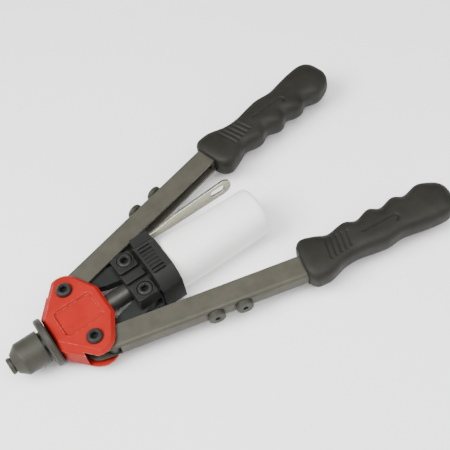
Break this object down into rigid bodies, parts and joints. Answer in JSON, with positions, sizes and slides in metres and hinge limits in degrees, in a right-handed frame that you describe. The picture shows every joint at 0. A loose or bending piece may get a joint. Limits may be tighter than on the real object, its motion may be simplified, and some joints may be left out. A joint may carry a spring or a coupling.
{
  "type": "hand riveter",
  "caption": "Long-arm blind rivet tool: red head with nosepiece, two channel arms with finger grips, toggle links, draw tube with jaws and a mandrel bottle.",
  "frame": {"origin": "centre of the nosepiece's front face, on the tool's axis", "axes": "+X along the tool from nosepiece to handles, +Z out of the head's broad front face, +Y towards the upper arm"},
  "size_m": [0.3967, 0.2212, 0.0525],
  "materials": {
    "red_paint": "gloss",
    "dark_steel": "satin gunmetal",
    "arm_steel": "satin gunmetal",
    "link_steel": "satin",
    "black_casting": "semi matte",
    "black_plastic": "matte",
    "grip_rubber": "matte",
    "white_plastic": "translucent white",
    "nickel_steel": "bright",
    "black_screws": "black oxide",
    "zinc_nuts": "zinc",
    "bright_steel": "ground",
    "jaw_steel": "hardened",
    "spring_steel": "drawn wire"
  },
  "bodies": {
    "head": {"nosepiece": "dark_steel", "barrel": "dark_steel", "lock_collar": "dark_steel", "head_block": "bright_steel", "housing_front": "red_paint", "housing_rear": "red_paint", "pivot_screws": "black_screws", "pivot_nuts": "zinc_nuts", "pivot_bushes": "bright_steel", "pivot_washers": "zinc_nuts"},
    "upper_lever": {"upper_arm": "arm_steel", "upper_grip": "grip_rubber", "upper_crank_pin": "bright_steel", "upper_spare_nosepiece_1": "dark_steel", "upper_spare_nosepiece_2": "dark_steel"},
    "lower_lever": {"lower_arm": "arm_steel", "lower_grip": "grip_rubber", "lower_crank_pin": "bright_steel", "lower_spare_nosepiece_1": "dark_steel", "lower_spare_nosepiece_2": "dark_steel"},
    "upper_toggle": {"upper_link": "link_steel"},
    "lower_toggle": {"lower_link": "link_steel"},
    "carriage": {"draw_tube": "bright_steel", "jaw_case": "bright_steel", "tube_nut": "zinc_nuts", "crosshead": "black_casting", "ear_screws": "black_screws", "ear_nuts": "zinc_nuts", "bottle_holder": "black_plastic", "bottle": "white_plastic", "spanner": "nickel_steel"},
    "jaw_set": {"jaw_1": "jaw_steel", "jaw_2": "jaw_steel", "jaw_3": "jaw_steel", "jaw_pusher": "bright_steel", "jaw_spring": "spring_steel"}
  },
  "joints": [
    {"name": "upper_arm_swing", "type": "hinge", "parent": "head", "child": "upper_lever", "pos_m": [0.072, 0.0275, 0], "axis": [0, 0, 1], "range_deg": [0, 52]},
    {"name": "lower_arm_swing", "type": "hinge", "parent": "head", "child": "lower_lever", "pos_m": [0.072, -0.0275, 0], "axis": [0, 0, -1], "range_deg": [0, 52]},
    {"name": "upper_link_turn", "type": "hinge", "parent": "upper_lever", "child": "upper_toggle", "pos_m": [0.08135, 0.03653, 0], "axis": [0, 0, 1], "range_deg": [-56.86, 0]},
    {"name": "lower_link_turn", "type": "hinge", "parent": "lower_lever", "child": "lower_toggle", "pos_m": [0.08135, -0.03653, 0], "axis": [0, 0, -1], "range_deg": [-56.86, 0]},
    {"name": "draw_slide", "type": "slide", "parent": "head", "child": "carriage", "axis": [-1, 0, 0], "range_m": [0, 0.01252]},
    {"name": "jaw_float", "type": "slide", "parent": "carriage", "child": "jaw_set", "axis": [1, 0, 0], "range_m": [0, 0.002], "stiffness_N_per_m": 300, "springref_m": -0.003}
  ],
  "couplings": [
    {"joint": "lower_arm_swing", "follows": "upper_arm_swing", "ratio": 1},
    {"joint": "upper_link_turn", "follows": "upper_arm_swing", "ratio": -1.0932},
    {"joint": "lower_link_turn", "follows": "upper_arm_swing", "ratio": -1.0932},
    {"joint": "draw_slide", "follows": "upper_arm_swing", "m_per_rad": 0.013786}
  ]
}
